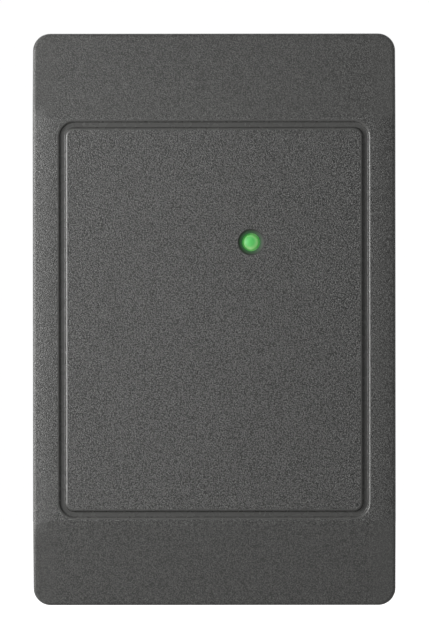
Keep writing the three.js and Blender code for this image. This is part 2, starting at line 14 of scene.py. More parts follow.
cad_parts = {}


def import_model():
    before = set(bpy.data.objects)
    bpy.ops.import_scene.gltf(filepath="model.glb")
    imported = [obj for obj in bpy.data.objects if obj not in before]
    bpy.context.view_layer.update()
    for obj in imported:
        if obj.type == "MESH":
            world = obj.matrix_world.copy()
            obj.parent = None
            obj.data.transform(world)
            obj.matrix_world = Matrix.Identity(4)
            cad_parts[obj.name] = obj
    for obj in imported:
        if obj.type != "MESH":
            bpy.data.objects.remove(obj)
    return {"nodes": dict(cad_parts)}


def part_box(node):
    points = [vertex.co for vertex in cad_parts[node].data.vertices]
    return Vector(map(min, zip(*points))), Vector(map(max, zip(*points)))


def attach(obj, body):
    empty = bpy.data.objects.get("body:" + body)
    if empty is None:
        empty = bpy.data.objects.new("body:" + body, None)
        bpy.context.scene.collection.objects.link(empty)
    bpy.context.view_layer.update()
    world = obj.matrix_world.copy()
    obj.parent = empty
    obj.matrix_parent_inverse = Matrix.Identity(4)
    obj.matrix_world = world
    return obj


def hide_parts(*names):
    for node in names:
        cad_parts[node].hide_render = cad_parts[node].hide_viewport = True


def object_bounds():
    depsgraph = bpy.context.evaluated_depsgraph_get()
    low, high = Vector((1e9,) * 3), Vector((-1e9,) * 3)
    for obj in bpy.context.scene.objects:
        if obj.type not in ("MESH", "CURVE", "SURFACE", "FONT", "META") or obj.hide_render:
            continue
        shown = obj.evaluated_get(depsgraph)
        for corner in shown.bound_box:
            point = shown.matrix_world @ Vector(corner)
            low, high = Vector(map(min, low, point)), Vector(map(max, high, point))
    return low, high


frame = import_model()
cad_low, cad_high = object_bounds()

MM = 0.001

# ---- Sizes, in millimetres ----

cover_low, cover_high = (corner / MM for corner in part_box("front_cover"))
COVER_HALF_WIDTH = cover_high.x
COVER_HALF_HEIGHT = cover_high.z
COVER_FRONT = -cover_low.y
COVER_REAR = -cover_high.y
COVER_CORNER = 3.6
COVER_WALL = 2.0
COVER_INNER_FRONT = COVER_WALL - COVER_FRONT
COVER_INNER_END = -11.8
REAR_CHAMFER = 0.4
EDGE_RADIUS = 0.7
EDGE_STEPS = 7
RAMP_START = 42.0
RAMP_SLOPE = 0.2153
RAMP_ROUNDING = 0.2
RAMP_ROWS = (45, 49, 53, 56, 58)  # where the mesh has more edges across the ramps
CROWN_START = 33.2
CROWN_CURVE = 0.014
CROWN_COLUMNS = (34, 34.8, 35.5, 36.1, 36.6)  # and along the crown
CROWN_BLEND = 6  # a higher power gives a sharper line between ramp and crown

GROOVE_HALF_WIDTH = 32.3
GROOVE_HALF_HEIGHT = 41.3
GROOVE_CORNER = 3.2
GROOVE_WIDTH = 1.45
GROOVE_DEPTH = 0.8
GROOVE_DRAFT = 0.22
GROOVE_LIP = 0.45
GROOVE_FLOOR_RADIUS = 0.22

LENS_X = 7.7
LENS_Z = 16.1
LENS_RADIUS = 1.7
LENS_CAP_RADIUS = 1.54
LENS_RIM = -16.5
LENS_FLANGE_RADIUS = 2.8
LENS_FLANGE_DEPTH = 0.8
LENS_HOLE = 1.85
LENS_HOLE_REAR, LENS_HOLE_FRONT = -14, -18
DISH_RADIUS = 2.7
DISH_DEPTH = 1.0

HINGE_X = 20.0
HINGE_Y = -2.7
HINGE_Z = 57.9
HINGE_LENGTH = 11.0
HINGE_POCKET = 0.95
HINGE_MOUTH = 2
CATCH_X = 18.0
CATCH_WIDTH, CATCH_HEIGHT = 9, 1
CATCH_REAR, CATCH_FRONT = -2.2, -4.5
NOTCH_WIDTH, NOTCH_HEIGHT, NOTCH_DEPTH = 9, 3, 1.8

TAMPER_X, TAMPER_Z = 2.5, 25
POST_END, POST_END_RADIUS, POST_ROOT_RADIUS = -13, 1.9, 2.3
RIB_WIDTH, RIB_THICKNESS, RIB_HEIGHT = 65.6, 1.2, 1.2
RIB_FROM_GROOVE = 1.6
ROOT = 0.5  # how far ribs and the post run into the shell
MARK_X, MARK_Z = 26, 33
MARK_RADIUS, MARK_DEPTH = 2, 0.08
MARK_REAR = -14


# ---- Mesh helpers ----


def finished(bm, name, materials, metres=MM):
    """A new object from a bmesh in millimetres."""
    bmesh.ops.recalc_face_normals(bm, faces=bm.faces)
    mesh = bpy.data.meshes.new(name)
    bm.to_mesh(mesh)
    bm.free()
    mesh.transform(Matrix.Scale(metres, 4))
    for material in materials:
        mesh.materials.append(material)
    made = bpy.data.objects.new(name, mesh)
    bpy.context.scene.collection.objects.link(made)
    return made


def placed(piece, body, slot, *nodes):
    """Makes a piece ride on its body, and hides the CAD nodes that it stands for. The slot argument is not
    used.
    """
    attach(piece, body)
    if nodes:
        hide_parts(*nodes)
    return piece


def rounded_outline(half_width, half_height, radius, steps=10, x=0.0, z=0.0):
    """Points (x, z) anticlockwise round a rounded rectangle."""
    points = []
    for quarter in range(4):
        start = quarter * math.pi / 2
        centre_x = x + (half_width - radius) * (1 if quarter in (0, 3) else -1)
        centre_z = z + (half_height - radius) * (1 if quarter in (0, 1) else -1)
        for step in range(steps + 1):
            angle = start + step / steps * math.pi / 2
            points.append((centre_x + radius * math.cos(angle), centre_z + radius * math.sin(angle)))
    return points


def inset_outline(half_width, half_height, radius, inset, steps=10):
    return rounded_outline(half_width - inset, half_height - inset, radius - inset, steps)


def circle(radius, steps, x=0.0, z=0.0):
    turns = (2 * math.pi * step / steps for step in range(steps))
    return [(x + radius * math.cos(a), z + radius * math.sin(a)) for a in turns]


def inset_from(x, z, half_width, half_height, radius):
    """How far (x, z) is inside a rounded rectangle's outline, and the outward direction there."""
    past_x = abs(x) - (half_width - radius)
    past_z = abs(z) - (half_height - radius)
    if past_x > 0 and past_z > 0:
        distance = math.hypot(past_x, past_z)
        inset, out_x, out_z = radius - distance, past_x / distance, past_z / distance
    elif past_x > past_z:
        inset, out_x, out_z = radius - past_x, 1.0, 0.0
    else:
        inset, out_x, out_z = radius - past_z, 0.0, 1.0
    return inset, Vector((math.copysign(out_x, x), 0, math.copysign(out_z, z)))


def curved_front(outline, loops, lines, front):
    """An open sheet inside the rounded rectangle outline = (half width, half height, radius). Its
    mesh has edges along the loops and lines, and front(x, z) gives its y."""
    coords, edges = [], []
    for loop in [rounded_outline(*outline), *loops]:
        first = len(coords)
        coords += loop
        edges += [(first + i, first + (i + 1) % len(loop)) for i in range(len(loop))]
    for start, end in lines:
        edges.append((len(coords), len(coords) + 1))
        coords += [start, end]
    flat, _, triangles, *_ = delaunay_2d_cdt([Vector(c) for c in coords], edges, [], 0, 1e-5)
    bm = bmesh.new()
    made = {}
    for triangle in triangles:
        middle = sum((flat[i] for i in triangle), Vector((0, 0))) / 3
        if inset_from(*middle, *outline)[0] < 0:
            continue
        for i in triangle:
            if i not in made:
                made[i] = bm.verts.new((flat[i].x, front(*flat[i]), flat[i].y))
        bm.faces.new([made[i] for i in triangle])
    return bm


def plate(outline, loops, lines, front, rear_steps):
    """A closed solid with a curved front. Its sides run back from the front's rim through
    rear_steps, which are (inset, y) pairs."""
    bm = curved_front(outline, loops, lines, front)
    rim = [edge for edge in bm.edges if edge.is_boundary]
    for inset, y in rear_steps:
        grown = bmesh.ops.extrude_edge_only(bm, edges=rim)["geom"]
        rim = [g for g in grown if isinstance(g, bmesh.types.BMEdge) and g.is_boundary]
        for vert in (g for g in grown if isinstance(g, bmesh.types.BMVert)):
            _, out = inset_from(vert.co.x, vert.co.z, *outline)
            vert.co = Vector((vert.co.x, y, vert.co.z)) - out * inset
    bmesh.ops.holes_fill(bm, edges=rim)
    return bm


def box_solid(x, z, width, height, rear, front):
    bm = bmesh.new()
    bmesh.ops.create_cube(bm, size=1)
    bmesh.ops.scale(bm, vec=(width, rear - front, height), verts=bm.verts)
    bmesh.ops.translate(bm, vec=(x, (rear + front) / 2, z), verts=bm.verts)
    return bm


def turned_solid(x, z, profile, sides):
    """A turned solid from (radius, y) pairs that start and end on the axis."""
    bm = bmesh.new()
    rings = []
    for radius, y in profile:
        points = [(x, z)] if radius == 0 else circle(radius, sides, x, z)
        rings.append([bm.verts.new((px, y, pz)) for px, pz in points])
    for near, far in zip(rings, rings[1:]):
        for i in range(sides):
            corners = [near[i % len(near)], near[(i + 1) % len(near)]]
            corners += [far[(i + 1) % len(far)], far[i % len(far)]]
            bm.faces.new(list(dict.fromkeys(corners)))
    return bm


def cylinder(x, z, radius, rear, front, sides):
    return turned_solid(x, z, [(0, rear), (radius, rear), (radius, front), (0, front)], sides)


def rod_solid(x, y, z, radius, length):
    """A rod that lies across the reader."""
    bm = bmesh.new()
    turn = Matrix.Translation((x, y, z)) @ Matrix.Rotation(math.pi / 2, 4, "Y")
    ends = {"radius1": radius, "radius2": radius, "depth": length}
    bmesh.ops.create_cone(bm, cap_ends=True, segments=24, matrix=turn, **ends)
    return bm


def combined(bm, cutters, additions=()):
    """The bmesh with the cutters taken out of it and then the additions joined on."""
    whole = finished(bm, "whole", [], 1)
    tools = []
    for operation, solids in (("DIFFERENCE", cutters), ("UNION", additions)):
        for solid in solids:
            tool = finished(solid, "tool", [], 1)
            step = whole.modifiers.new(operation, "BOOLEAN")
            step.object, step.operation, step.solver = tool, operation, "EXACT"
            tools.append(tool)
    bpy.context.view_layer.update()
    evaluated = whole.evaluated_get(bpy.context.evaluated_depsgraph_get())
    result = bmesh.new()
    result.from_mesh(evaluated.to_mesh())
    evaluated.to_mesh_clear()
    for used in [whole, *tools]:
        bpy.data.objects.remove(used)
    return result


def smooth_by_angle(piece, degrees):
    mesh = piece.data
    for face in mesh.polygons:
        face.use_smooth = True
    mesh.set_sharp_from_angle(angle=math.radians(degrees))


def join_loops(bm, loops):
    """Faces between each loop of vertices and the next, and between the last loop and the first."""
    for near, far in zip(loops, loops[1:] + loops[:1]):
        for i in range(len(near)):
            j = (i + 1) % len(near)
            bm.faces.new((near[i], near[j], far[j], far[i]))


# ---- Rounded profiles: (place along, depth, slope) points with filleted corners ----


def filleted(corners, steps=5):
    """Points (s, depth, slope) along straight stretches whose corners (s, depth, radius) are rounded."""
    points = []
    for i, (s, depth, radius) in enumerate(corners):
        here = Vector((s, depth))
        if not radius:
            points.append((s, depth, 0.0))
            continue
        back = (Vector(corners[i - 1][:2]) - here).normalized()
        ahead = (Vector(corners[i + 1][:2]) - here).normalized()
        half = back.angle(ahead) / 2
        reach = radius / math.tan(half)
        centre = here + (back + ahead).normalized() * (radius / math.sin(half))
        first = here + back * reach - centre
        sweep = first.angle_signed(here + ahead * reach - centre)
        for step in range(steps + 1):
            spoke = Matrix.Rotation(-sweep * step / steps, 2) @ first
            at = centre + spoke
            points.append((at.x, at.y, -spoke.x / spoke.y))
    return points


def along(profile, s):
    """Depth and slope at s, between the profile's points."""
    if s <= profile[0][0]:
        return profile[0][1], 0.0
    for near, far in zip(profile, profile[1:]):
        if s <= far[0]:
            share = (s - near[0]) / (far[0] - near[0])
            return near[1] + share * (far[1] - near[1]), near[2] + share * (far[2] - near[2])
    return profile[-1][1], 0.0


GROOVE = filleted(
    [
        (-1, 0, 0),
        (0, 0, GROOVE_LIP),
        (GROOVE_DRAFT, GROOVE_DEPTH, GROOVE_FLOOR_RADIUS),
        (GROOVE_WIDTH - GROOVE_DRAFT, GROOVE_DEPTH, GROOVE_FLOOR_RADIUS),
        (GROOVE_WIDTH, 0, GROOVE_LIP),
        (GROOVE_WIDTH + 1, 0, 0),
    ]
)
DISH = filleted(
    [
        (0, DISH_DEPTH + 0.2, 0),
        (LENS_RADIUS, DISH_DEPTH + 0.2, 0),
        (DISH_RADIUS, 0, 0.25),
        (DISH_RADIUS + 1.5, 0, 0),
    ]
)


# ---- Materials ----


class Finish:
    """A procedural material under construction, with short ways to add and link its nodes."""

    def __init__(self, name, color, roughness, metallic=0.0, **more):
        self.material = bpy.data.materials.new(name)
        self.material.use_nodes = True
        self.tree = self.material.node_tree
        self.shader = self.tree.nodes["Principled BSDF"]
        self.set("Base Color", (*color, 1))
        self.set("Roughness", roughness)
        self.set("Metallic", metallic)
        for socket, value in more.items():
            self.set(socket.replace("_", " "), value)
        self.place = self.tree.nodes.new("ShaderNodeTexCoord").outputs["Object"]

    def set(self, socket, value):
        self.shader.inputs[socket].default_value = value

    def node(self, kind, inputs=None, **settings):
        made = self.tree.nodes.new(kind)
        for key, value in settings.items():
            setattr(made, key, value)
        for key, value in (inputs or {}).items():
            self.feed(made.inputs[key], value)
        return made

    def feed(self, socket, value):
        if isinstance(value, bpy.types.NodeSocket):
            self.tree.links.new(value, socket)
        else:
            socket.default_value = value

    def noise(self, size, detail=2.0, roughness=0.5):
        """Noise whose blobs are about size millimetres across."""
        inputs = {"Vector": self.place, "Scale": 1 / (size * MM), "Detail": detail}
        inputs["Roughness"] = roughness
        return self.node("ShaderNodeTexNoise", inputs).outputs["Fac"]

    def cells(self, size, feature="SMOOTH_F1"):
        """Distance in a field of cells about size millimetres apart."""
        inputs = {"Vector": self.place, "Scale": 1 / (size * MM)}
        return self.node("ShaderNodeTexVoronoi", inputs, feature=feature).outputs["Distance"]

    def radius(self, x, z):
        """Distance from the front-to-back line through (x, z) millimetres."""
        flat = self.node("ShaderNodeVectorMath", {0: self.place, 1: (1, 0, 1)}, operation="MULTIPLY")
        centre = (x * MM, 0, z * MM)
        reach = self.node("ShaderNodeVectorMath", {0: flat.outputs[0], 1: centre}, operation="DISTANCE")
        return reach.outputs["Value"]

    def ramp(self, value, low, high, out_low=0.0, out_high=1.0):
        """Value from low..high spread over out_low..out_high, and held at the ends."""
        inputs = {"Value": value, "From Min": low, "From Max": high, "To Min": out_low, "To Max": out_high}
        return self.node("ShaderNodeMapRange", inputs).outputs["Result"]

    def calculate(self, operation, *values):
        inputs = dict(enumerate(values))
        return self.node("ShaderNodeMath", inputs, operation=operation).outputs[0]

    def sum(self, first, second, weight):
        """first + weight * second."""
        return self.calculate("MULTIPLY_ADD", second, weight, first)

    def color(self, factor, low, high):
        """Base colour from low to high as factor goes from 0 to 1."""
        # Sockets 0, 6 and 7 of a colour mix are its factor and its two colours.
        inputs = {0: factor, 6: (*low, 1), 7: (*high, 1)}
        mix = self.node("ShaderNodeMix", inputs, data_type="RGBA")
        self.feed(self.shader.inputs["Base Color"], mix.outputs[2])

    def roughness(self, factor, low, high):
        self.feed(self.shader.inputs["Roughness"], self.ramp(factor, 0, 1, low, high))

    def bump(self, height, rise, strength=1.0):
        """Bump whose height of 1 stands up by rise millimetres."""
        inputs = {"Height": height, "Distance": rise * MM, "Strength": strength}
        made = self.node("ShaderNodeBump", inputs)
        self.feed(self.shader.inputs["Normal"], made.outputs["Normal"])


COVER_GREY = (0.082, 0.082, 0.079)
BASE_BLACK = (0.022, 0.0225, 0.0235)
SIDE_FADE_START, SIDE_FADE_END = 32, 34
BOARD_WEAVE = 0.9


def tinted(color, factor):
    return [channel * factor for channel in color]


def moulded_grain(name, color, roughness, grain, rise, speck, ends=1.0, sides=1.0):
    """Moulded plastic with a pebbled grain: bead-like bumps of about grain millimetres. They fade
    to the fraction ends on the cover's sloping ends, and to the fraction sides beside its groove."""
    made = Finish(name, color, roughness)
    beads = made.ramp(made.cells(grain, "F1"), 0.0, 0.7, 1, 0)
    place = made.node("ShaderNodeSeparateXYZ", {0: made.place}).outputs
    across = made.calculate("ABSOLUTE", place["X"])
    height = made.calculate("ABSOLUTE", place["Z"])
    end_fade = made.ramp(height, (RAMP_START - 1) * MM, (RAMP_START + 1) * MM, 1.0, ends)
    side_fade = made.ramp(across, SIDE_FADE_START * MM, SIDE_FADE_END * MM, 1.0, sides)
    fade = made.calculate("MULTIPLY", end_fade, side_fade)
    made.bump(made.sum(beads, made.noise(grain / 2, 3, 0.6), 1.0), rise, fade)
    shade = made.ramp(made.sum(made.noise(grain * 0.8, 2), beads, 0.35), 0.45, 0.85, -0.5, 0.5)
    made.color(made.sum(0.5, shade, fade), tinted(color, 1 - speck), tinted(color, 1 + speck))
    made.roughness(made.noise(grain * 1.2, 2), roughness - 0.08, roughness + 0.08)
    return made.material


def lens_material():
    """A lit diffusing cap whose colour is paler towards its rim and palest on its lower right side: a
    painted highlight.
    """
    made = Finish("lens_cap", (0.1, 0.4, 0.11), 0.42, Emission_Strength=0.3)
    made.set("Emission Color", (0.06, 0.6, 0.09, 1))
    made.set("Subsurface Weight", 0.3)
    made.set("Subsurface Radius", (0.0005, 0.001, 0.0005))
    made.bump(made.noise(0.15, 3), 0.004)
    # Painted highlight: the colour pales towards the rim, from a centre set off to the upper left so the
    # lower right side is palest.
    pale = made.ramp(made.radius(LENS_X - 0.25, LENS_Z + 0.15), 0.9 * MM, 1.7 * MM)
    made.color(made.sum(pale, made.noise(0.6, 2), 0.15), (0.07, 0.36, 0.09), (0.42, 0.6, 0.3))
    return made.material


def dish_material():
    """The smooth dish, darker than the rest of the cover as painted shade in its recess, with a painted
    green glow near the lens for the indicator's light spilling over it.
    """
    made = Finish("cover_dish", COVER_GREY, 0.6)
    made.bump(made.noise(0.3, 3, 0.6), 0.006)
    # Painted shade: the dish is coloured at half to seven tenths of the cover's grey.
    made.color(made.noise(2, 2), tinted(COVER_GREY, 0.5), tinted(COVER_GREY, 0.7))
    made.set("Specular IOR Level", 0.2)
    # Painted glow: green emission, strongest next to the lens, stands in for the indicator's light
    # spilling onto the dish.
    made.set("Emission Color", (0.08, 0.8, 0.16, 1))
    spill = made.ramp(made.radius(LENS_X, LENS_Z), 1.8 * MM, 2.6 * MM, 0.11, 0.0)
    made.feed(made.shader.inputs["Emission Strength"], spill)
    return made.material


def foam_material():
    made = Finish("foam_strip", (0.03, 0.03, 0.032), 0.95)
    pores = made.cells(0.35)
    made.bump(pores, 0.15)
    made.color(made.ramp(pores, 0.1, 0.6), (0.012, 0.012, 0.013), (0.045, 0.045, 0.048))
    return made.material


def rubber_material():
    made = Finish("moulded_rubber", (0.016, 0.016, 0.017), 0.6)
    made.bump(made.noise(0.25, 4, 0.65), 0.02)
    made.roughness(made.noise(3, 3), 0.5, 0.72)
    made.color(made.noise(1.5, 3), (0.013, 0.013, 0.014), (0.026, 0.026, 0.027))
    return made.material


def board_material():
    made = Finish("solder_mask", (0.012, 0.10, 0.04), 0.28, Coat_Weight=0.4, Coat_Roughness=0.15)
    inputs = {"Vector": made.place, "Scale": 1 / (BOARD_WEAVE * MM)}
    weave = made.node("ShaderNodeTexChecker", inputs).outputs["Fac"]
    blend = made.sum(made.noise(7, 3), weave, 0.12)
    made.color(made.ramp(blend, 0.3, 0.8), (0.008, 0.075, 0.03), (0.016, 0.125, 0.05))
    made.bump(made.sum(made.noise(0.5, 2), weave, 0.15), 0.012)
    made.roughness(made.noise(4, 2), 0.22, 0.36)
    return made.material


def plain_plastic(name, color, roughness, size=0.25, rise=0.012, variation=0.15, **more):
    """Smooth moulded plastic with faint flow marks."""
    made = Finish(name, color, roughness, **more)
    made.bump(made.noise(size, 3, 0.6), rise)
    made.color(made.noise(size * 12, 3), tinted(color, 1 - variation), tinted(color, 1 + variation))
    made.roughness(made.noise(size * 8, 2), roughness - 0.07, roughness + 0.07)
    return made.material


def metal(name, color, roughness, size=0.2, rise=0.004):
    """Plated metal with a fine uneven surface and small stains."""
    made = Finish(name, color, roughness, 1.0)
    made.bump(made.noise(size, 4, 0.65), rise)
    made.color(made.noise(size * 10, 4, 0.7), tinted(color, 0.8), tinted(color, 1.12))
    made.roughness(made.noise(size * 5, 3), roughness * 0.75, roughness * 1.35)
    return made.material


def ferrite_material():
    made = Finish("sintered_ferrite", (0.04, 0.041, 0.044), 0.55)
    made.bump(made.noise(0.3, 5, 0.7), 0.02)
    made.color(made.noise(0.5, 4, 0.7), (0.026, 0.027, 0.03), (0.06, 0.061, 0.065))
    made.roughness(made.noise(2, 3), 0.45, 0.68)
    return made.material


COVER = moulded_grain("cover_grain", COVER_GREY, 0.4, 0.3, 0.07, 0.85, ends=0.62, sides=0.68)
COVER_GROOVE = plain_plastic("cover_groove", COVER_GREY, 0.27, 0.3, 0.006, 0.05)
COVER_DISH = dish_material()
COVER_INSIDE = plain_plastic("cover_inside", COVER_GREY, 0.45, 0.4, 0.01, 0.08)
BASE = moulded_grain("base_grain", BASE_BLACK, 0.55, 0.4, 0.025, 0.2)
LENS = lens_material()
FOAM = foam_material()
RUBBER = rubber_material()
BOARD = board_material()
FERRITE = ferrite_material()
NYLON = plain_plastic("natural_nylon", (0.62, 0.58, 0.48), 0.42, 0.3, 0.01, 0.06, Subsurface_Weight=0.15)
WINDING = metal("enamelled_wire", (0.5, 0.17, 0.06), 0.28, 0.4)
LED_EPOXY = plain_plastic("led_epoxy", (0.25, 0.7, 0.3), 0.15, 0.5, 0.002, 0.05, Coat_Weight=0.5)
CHIP = plain_plastic("moulding_compound", (0.018, 0.018, 0.019), 0.5, 0.08, 0.008)
TINNED = metal("tin_plate", (0.58, 0.58, 0.57), 0.3)
SCREW_STEEL = metal("zinc_plate", (0.54, 0.55, 0.57), 0.26, 0.15, 0.005)
BRASS = metal("contact_brass", (0.6, 0.45, 0.18), 0.28)
FILM = plain_plastic("film_capacitor", (0.4, 0.045, 0.025), 0.3, 0.4, 0.02, 0.12, Coat_Weight=0.3)
SLEEVE = plain_plastic("shrink_sleeve", (0.012, 0.02, 0.06), 0.3, 0.6, 0.01, 0.1)
TERMINAL = plain_plastic("terminal_plastic", (0.02, 0.24, 0.075), 0.38, 0.2, 0.008, 0.1)
TRACK = plain_plastic("masked_copper", (0.03, 0.2, 0.075), 0.26, 0.5, 0.003, 0.12, Coat_Weight=0.4)
LEGEND = plain_plastic("legend_ink", (0.72, 0.72, 0.68), 0.55, 0.15, 0.004, 0.06)
SOLDER = metal("solder", (0.66, 0.66, 0.67), 0.24, 0.3, 0.01)
THICK_FILM = plain_plastic("thick_film", (0.014, 0.014, 0.016), 0.25, 0.3, 0.004, 0.1)
CERAMIC = plain_plastic("chip_ceramic", (0.36, 0.24, 0.15), 0.4, 0.12, 0.006, 0.12)

NODE_FINISH = {
    "base_housing": BASE,
    "rear_seal": FOAM,
    "cable_grommet": RUBBER,
    "circuit_board": BOARD,
    "ferrite_sheet": FERRITE,
    "board_screw": SCREW_STEEL,
    "antenna_former": NYLON,
    "antenna_coil": WINDING,
    "coil_lead": WINDING,
    "status_led": LED_EPOXY,
    "led_spacer": NYLON,
    "sounder": CHIP,
    "microcontroller": CHIP,
    "reader_chip": CHIP,
    "clock_crystal": TINNED,
    "voltage_regulator": CHIP,
    "power_choke": FERRITE,
    "tuning_capacitor": FILM,
    "reservoir_capacitor": SLEEVE,
    "supply_capacitor": SLEEVE,
    "surge_suppressor": CHIP,
    "polarity_diode": CHIP,
    "driver_transistor": CHIP,
    "tamper_switch": CHIP,
    "tamper_plunger": NYLON,
    "terminal_block": TERMINAL,
    "terminal_screw": SCREW_STEEL,
    "wire_clamp": TINNED,
    "terminal_contact": BRASS,
    "front_cover": COVER,
    "led_lens": LENS,
}
EDGE_BREAK = {"base_housing": 0.2, "cable_grommet": 0.2, "circuit_board": 0.08, "rear_seal": 0.15}
SMALL_EDGE_BREAK = 0.06
WELD_DISTANCE = 0.002


def dress_nodes():
    """Gives every CAD node its material, and breaks its sharp edges."""
    for name, node in frame["nodes"].items():
        kind = max((k for k in NODE_FINISH if name.startswith(k)), key=len)
        node.data.materials.clear()
        node.data.materials.append(NODE_FINISH[kind])
        merge = node.modifiers.new("merge", "WELD")
        merge.merge_threshold = WELD_DISTANCE * MM
        flat = node.modifiers.new("flatten", "DECIMATE")
        flat.decimate_type = "DISSOLVE"
        flat.angle_limit = math.radians(0.5)
        edges = node.modifiers.new("edges", "BEVEL")
        edges.width = EDGE_BREAK.get(kind, SMALL_EDGE_BREAK) * MM
        edges.segments = 2
        edges.limit_method = "ANGLE"
        edges.angle_limit = math.radians(32)
        edges.harden_normals = False
        smooth = node.modifiers.new("smooth", "WEIGHTED_NORMAL")
        smooth.keep_sharp = True


# ---- Front cover ----

COVER_FINISHES = [COVER, COVER_INSIDE, COVER_GROOVE, COVER_DISH]
SURFACE_TOLERANCE = 0.01
SUNK = 0.0005  # a face deeper than this is in the groove or the dish


def ramp_and_crown(x, z):
    """How far the front falls away towards the ends and the long sides."""
    past = abs(z) - RAMP_START
    if past <= -RAMP_ROUNDING:
        rise = 0.0
    elif past < RAMP_ROUNDING:
        rise = (past + RAMP_ROUNDING) ** 2 / (4 * RAMP_ROUNDING)
    else:
        rise = past
    crown = CROWN_CURVE * max(0.0, abs(x) - CROWN_START) ** 2
    return ((RAMP_SLOPE * rise) ** CROWN_BLEND + crown**CROWN_BLEND) ** (1 / CROWN_BLEND)


def cover_inset(x, z):
    return inset_from(x, z, COVER_HALF_WIDTH, COVER_HALF_HEIGHT, COVER_CORNER)


def groove_inset(x, z):
    return inset_from(x, z, GROOVE_HALF_WIDTH, GROOVE_HALF_HEIGHT, GROOVE_CORNER)


def groove_depth(x, z):
    return along(GROOVE, groove_inset(x, z)[0])[0]


def dish_depth(x, z):
    return along(DISH, math.hypot(x - LENS_X, z - LENS_Z))[0]


def cover_front(x, z):
    """The y of the cover's outer surface."""
    edge = max(0.0, EDGE_RADIUS - max(0.0, cover_inset(x, z)[0]))
    fillet = EDGE_RADIUS - math.sqrt(EDGE_RADIUS**2 - edge**2)
    fall = ramp_and_crown(x, z)
    return -(COVER_FRONT - fall - fillet - groove_depth(x, z) - dish_depth(x, z))


def cover_normal(x, z):
    """The outward normal of the cover's outer surface."""
    small = 0.01
    fall_x = (ramp_and_crown(x + small, z) - ramp_and_crown(x - small, z)) / (2 * small)
    fall_z = (ramp_and_crown(x, z + small) - ramp_and_crown(x, z - small)) / (2 * small)
    inset, out = groove_inset(x, z)
    slope = -out * along(GROOVE, inset)[1]
    from_lens = Vector((x - LENS_X, 0, z - LENS_Z))
    if from_lens.length > small:
        slope += from_lens.normalized() * along(DISH, from_lens.length)[1]
    normal = (Vector((fall_x, -1, fall_z)) + slope).normalized()
    inset, out = cover_inset(x, z)
    if inset < EDGE_RADIUS:
        turn = math.acos(min(1.0, 1 - max(0.0, inset) / EDGE_RADIUS))
        normal = (out * math.cos(turn) + normal * math.sin(turn)).normalized()
    return normal


def cover_loops():
    """Where the front's mesh follows its own edge, the groove and the dish."""
    loops = []
    cover = (COVER_HALF_WIDTH, COVER_HALF_HEIGHT, COVER_CORNER)
    for step in range(1, EDGE_STEPS + 1):
        inset = EDGE_RADIUS * (1 - math.cos(step / EDGE_STEPS * math.pi / 2))
        loops.append(inset_outline(*cover, inset))
    groove = (GROOVE_HALF_WIDTH, GROOVE_HALF_HEIGHT, GROOVE_CORNER)
    loops += [inset_outline(*groove, inset, 12) for inset, _, _ in GROOVE[1:-1]]
    loops += [circle(radius, 48, LENS_X, LENS_Z) for radius, _, _ in DISH[1:-1]]
    return loops


def cover_solid():
    """The cover's outside as a closed solid, before its hollow is cut."""
    rows = [RAMP_START + RAMP_ROUNDING * share for share in (-1, -0.5, 0, 0.5, 1)]
    rows += RAMP_ROWS
    columns = [CROWN_START, *CROWN_COLUMNS]
    wide, tall = COVER_HALF_WIDTH + 1, COVER_HALF_HEIGHT + 1
    lines = [((-wide, side * z), (wide, side * z)) for z in rows for side in (-1, 1)]
    lines += [((side * x, -tall), (side * x, tall)) for x in columns for side in (-1, 1)]
    rear = [(0, -COVER_REAR - REAR_CHAMFER), (REAR_CHAMFER, -COVER_REAR)]
    outline = (COVER_HALF_WIDTH, COVER_HALF_HEIGHT, COVER_CORNER)
    return plate(outline, cover_loops(), lines, cover_front, rear)


def cover_hollow():
    flat_half, end_half = RAMP_START - 0.5, COVER_HALF_HEIGHT - COVER_WALL

    def ceiling(_, z):
        share = max(0.0, (abs(z) - flat_half) / (end_half - flat_half))
        return COVER_INNER_FRONT + share * (COVER_INNER_END - COVER_INNER_FRONT)

    outline = (COVER_HALF_WIDTH - COVER_WALL, end_half, COVER_CORNER - COVER_WALL)
    wide = COVER_HALF_WIDTH
    lines = [((-wide, z), (wide, z)) for z in (-flat_half, flat_half)]
    return plate(outline, [], lines, ceiling, [(0, 1)])


def cover_cutters():
    """The hollow, the lens hole, the pry notch, the hinge pockets, the catches and ejector marks."""
    cutters = [cover_hollow()]
    cutters.append(cylinder(LENS_X, LENS_Z, LENS_HOLE, LENS_HOLE_REAR, LENS_HOLE_FRONT, 48))
    cutters.append(box_solid(0, -COVER_HALF_HEIGHT, NOTCH_WIDTH, NOTCH_HEIGHT, 0, -NOTCH_DEPTH))
    for x in (-HINGE_X, HINGE_X):
        cutters.append(rod_solid(x, HINGE_Y, HINGE_Z, HINGE_POCKET, HINGE_LENGTH))
        mouth = (HINGE_Y + HINGE_POCKET, HINGE_Y - HINGE_POCKET)
        mouth_z = HINGE_Z - HINGE_MOUTH / 2
        cutters.append(box_solid(x, mouth_z, HINGE_LENGTH, HINGE_MOUTH, *mouth))
    catch_z = COVER_WALL - COVER_HALF_HEIGHT
    for x in (-CATCH_X, CATCH_X):
        cutters.append(box_solid(x, catch_z, CATCH_WIDTH, CATCH_HEIGHT, CATCH_REAR, CATCH_FRONT))
    mark_front = COVER_INNER_FRONT - MARK_DEPTH
    for x in (-MARK_X, MARK_X):
        for z in (-MARK_Z, 0, MARK_Z):
            cutters.append(cylinder(x, z, MARK_RADIUS, MARK_REAR, mark_front, 32))
    return cutters


